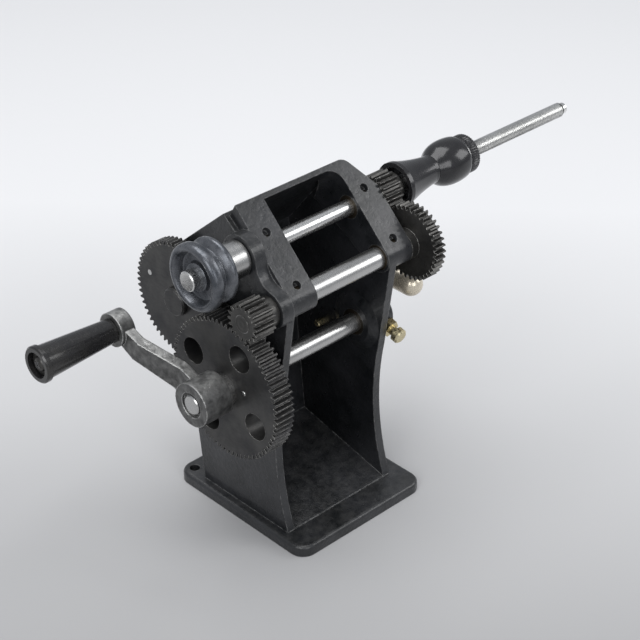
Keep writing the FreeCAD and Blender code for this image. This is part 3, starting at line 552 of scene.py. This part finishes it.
# %% Sliding bell
bell_bore = 4.04
bell_outline = [(0.0, 7.5), (0.05, 8.1), (0.12, 9.1), (0.20, 10.1), (0.29, 10.9), (0.40, 11.5),
                (0.52, 11.85), (0.66, 11.95), (0.78, 11.85), (0.90, 11.6), (0.97, 11.3),
                (1.0, 10.9)]

def turned_bell():
    near, far = ends_mm("outer_cone")
    skin = [(near + share * (far - near), r) for share, r in bell_outline]
    bm = bmesh.new()
    lathe(bm, [(near, bell_bore)] + skin + [(far, bell_bore), (near, bell_bore)], steps=96)
    finished_piece("turned_bell", bm, "black_oxide", "outer_cone", "outer_cone", 30)

turned_bell()

# %% [markdown]
# Two small marks of the workshop are left: the layshaft's end has a turned centre with a ring round
# it, and the large gear carries one punched mark near its hub. They could be bumps, but as spun
# rings they catch the light. The punched mark is bright zinc, a painted glint on the dark gear.
# Both sink a little into what carries them, so no gap shows.

# %% Shaft end and punch mark
sink = 0.1
shaft_rings = [(sink, 0), (sink, 4.4), (-0.25, 4.3), (-0.30, 3.7), (-0.12, 3.2), (-0.28, 2.6),
               (-0.30, 0.9), (-0.05, 0)]
punch_rings = [(sink, 0), (sink, 1.3), (-0.22, 1.05), (-0.18, 0.75), (0.02, 0)]
punch_axis = Vector((0, -0.02334, 0.09594))

def shaft_end():
    face = ends_mm("layshaft")[0]
    bm = bmesh.new()
    lathe(bm, [(face + x, r) for x, r in shaft_rings], axis=centre_of("layshaft_nut"))
    finished_piece("shaft_end", bm, "pinion_steel", "layshaft", None)

def punch_mark():
    face = ends_mm("crank_gear")[0]
    bm = bmesh.new()
    lathe(bm, [(face + x, r) for x, r in punch_rings], axis=punch_axis, steps=24)
    # painted glint: the punch mark takes the bright zinc finish
    finished_piece("punch_mark", bm, "bright_zinc", "crank", None)

shaft_end()
punch_mark()

# %% [markdown]
# The machine stands on plain pale paper, and its front lies in shade. Less light there could do the
# same, but it would dim the machine too. So the shade is painted into the paper's colour as a
# gradient, darker in front.

# %% Floor
floor_reach = 6.0
shaded_front_tone = (0.34, 0.34, 0.345)
back_tone = (0.77, 0.772, 0.782)
to_the_back = (0.707, 0.707, 0)
darkest_at = -0.15
palest_at = 0.30

def pale_floor():
    bm = bmesh.new()
    bmesh.ops.create_grid(bm, x_segments=1, y_segments=1, size=floor_reach)
    mesh = bpy.data.meshes.new("floor")
    bm.to_mesh(mesh)
    bm.free()
    floor = bpy.data.objects.new("floor", mesh)
    bpy.context.collection.objects.link(floor)
    material, tree, shader = new_finish("floor_paper")
    away = put(tree, "VectorMath", operation="DOT_PRODUCT")
    away.inputs[1].default_value = to_the_back
    tree.links.new(object_space(tree), away.inputs[0])
    # painted shade: the paper's colour darkens towards the front, where less light falls
    tone = ramp(tree, away.outputs["Value"], 0.0, 1.0, darkest_at, palest_at)
    paper = blend_colours(tree, tone, shaded_front_tone, back_tone)
    tree.links.new(paper, shader.inputs["Base Color"])
    shader.inputs["Roughness"].default_value = 0.7
    mesh.materials.append(material)

pale_floor()
print("floor tones:", shaded_front_tone, back_tone)

# %% [markdown]
# Small lamps could light the machine too, but they would give hard shadows and dots of light on the
# bars. Large soft lamps give long highlights there and a gentle shadow under the base.

# %% Lamps
lamp_target = Vector((0, 0, 0.08))
lamps = [
    ("top_lamp", (-0.1, 0.25, 1.5), 1.2, 16.0),
    ("left_lamp", (-1.3, -0.5, 0.9), 0.9, 9.0),
    ("front_lamp", (-0.35, -1.4, 0.75), 0.8, 6.0),
    ("right_lamp", (1.2, -0.9, 0.9), 0.8, 7.0),
]
for name, where, size, watts in lamps:
    data = bpy.data.lights.new(name, "AREA")
    data.size = size
    data.energy = watts
    lamp = bpy.data.objects.new(name, data)
    lamp.location = where
    lamp.rotation_euler = (lamp_target - Vector(where)).to_track_quat("-Z", "Y").to_euler()
    bpy.context.collection.objects.link(lamp)
print("lamps:", len(lamps))

# %% [markdown]
# A faint bluish world fills the shadows, as the walls of a studio do. A fifth lamp could do that
# from one side, and the world does it from all.

# %% World
world_colour = (0.80, 0.83, 0.88, 1)
world_strength = 0.45

world = bpy.data.worlds.new("studio")
bpy.context.scene.world = world
world.use_nodes = True
background = world.node_tree.nodes["Background"]
background.inputs["Color"].default_value = world_colour
background.inputs["Strength"].default_value = world_strength
print("world strength:", world_strength)
